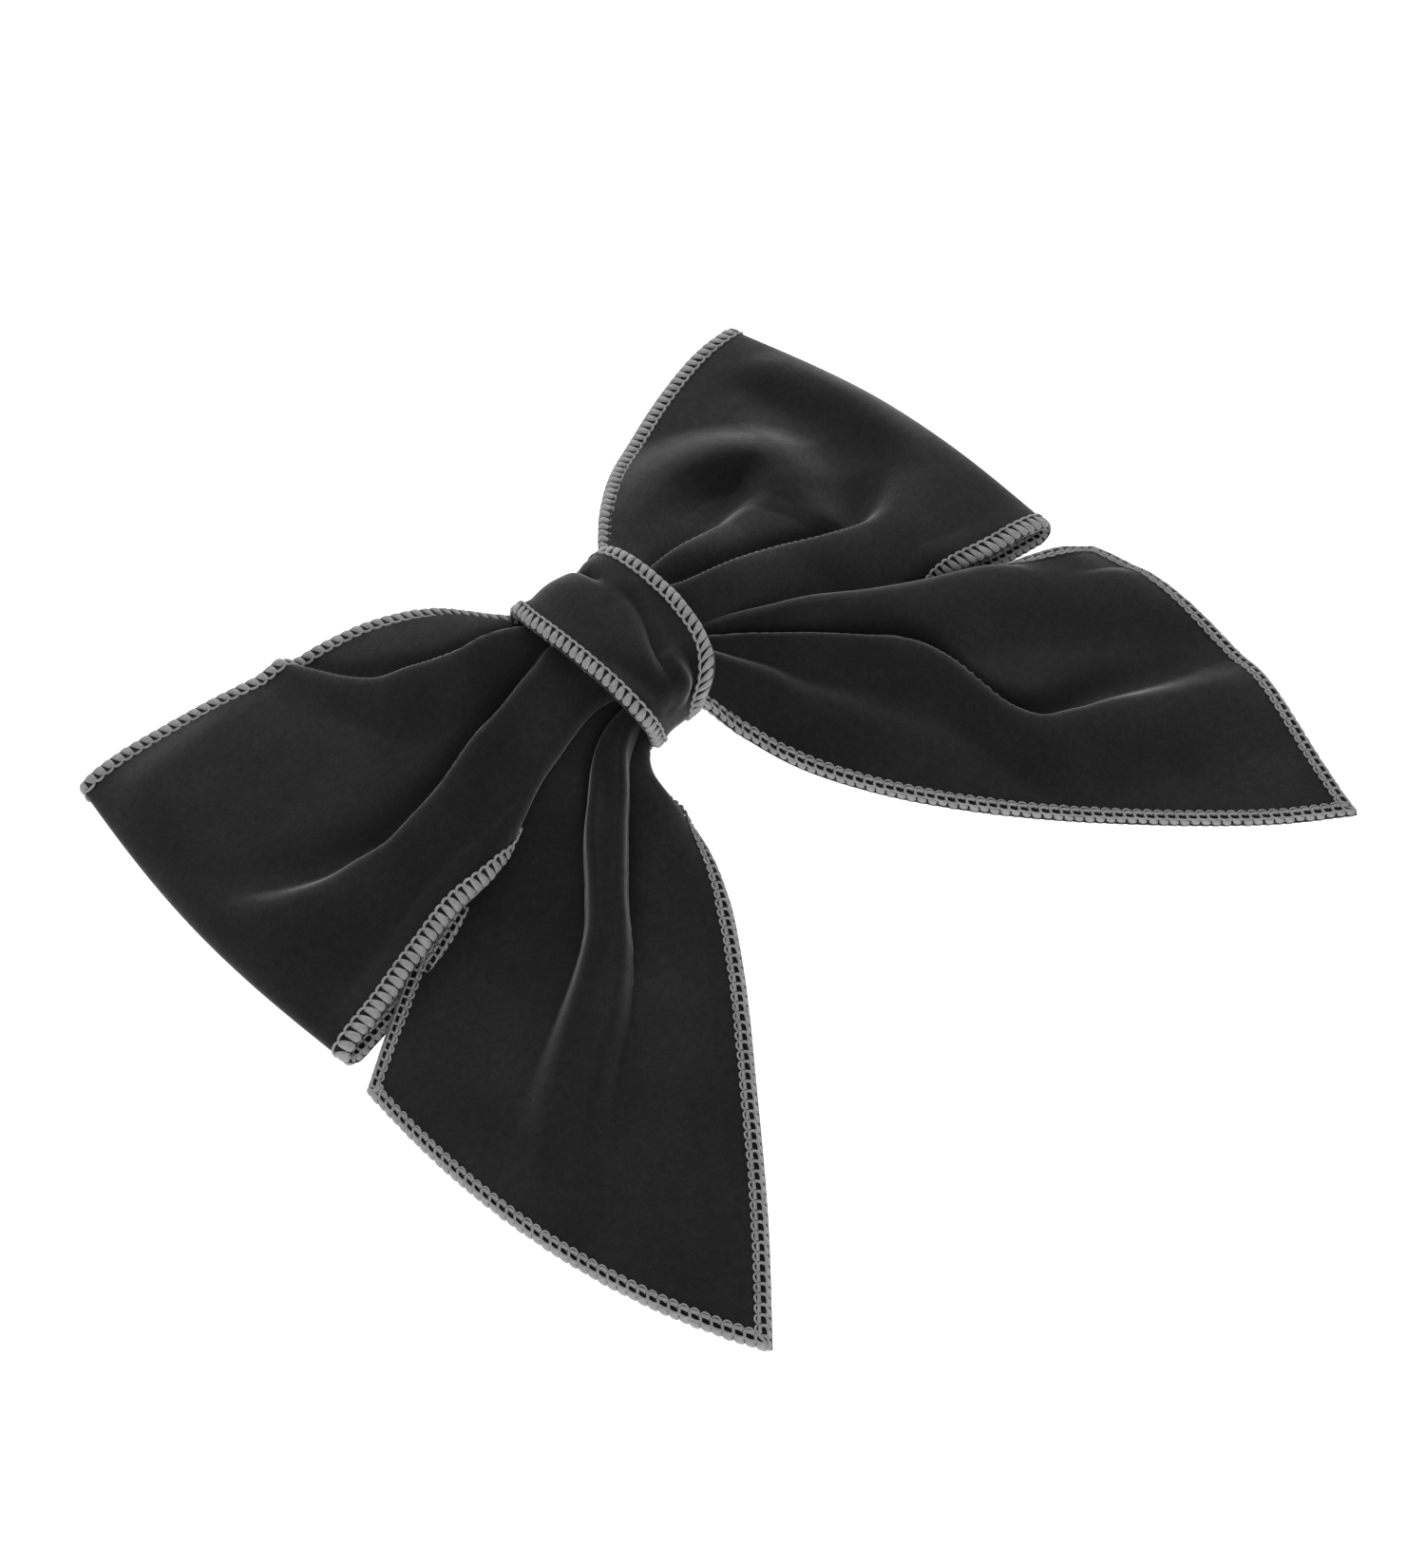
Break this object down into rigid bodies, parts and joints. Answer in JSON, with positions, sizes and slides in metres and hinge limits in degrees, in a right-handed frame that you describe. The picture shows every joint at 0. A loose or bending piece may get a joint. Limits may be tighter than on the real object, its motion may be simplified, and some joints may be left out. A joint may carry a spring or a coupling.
{
  "type": "hair bow",
  "caption": "Velvet hair bow with folded loops, slanted tails and a gathered knot, mounted on a hinged snap barrette.",
  "frame": {"origin": "middle of the clasp arm's flat underside, on the surface the bow lies on, under the knot", "axes": "+Z out of the bow's front, +X along the loops towards the barrette's hinge, +Y away from the tails"},
  "size_m": [0.1792, 0.1637, 0.0281],
  "materials": {
    "velvet": "short cut pile with a soft sheen, near black",
    "edge_thread": "twisted grey thread, satin",
    "gather_thread": "black sewing thread",
    "barrette_steel": "nickel-plated spring steel, satin"
  },
  "bodies": {
    "bow": {"loop_ribbon": "velvet", "tail_ribbon": "velvet", "knot_wrap": "velvet", "loop_edge_upper": "edge_thread", "loop_edge_lower": "edge_thread", "tail_edge": "edge_thread", "knot_edge_left": "edge_thread", "knot_edge_right": "edge_thread", "gather_thread": "gather_thread", "base_plate": "barrette_steel", "tension_bar": "barrette_steel", "hinge_pin": "barrette_steel"},
    "clasp": {"clasp_arm": "barrette_steel"}
  },
  "joints": [
    {"name": "clasp_hinge", "type": "hinge", "parent": "bow", "child": "clasp", "pos_m": [0.033, 0, 0.0016], "axis": [0, -1, 0], "range_deg": [0, 75]}
  ]
}
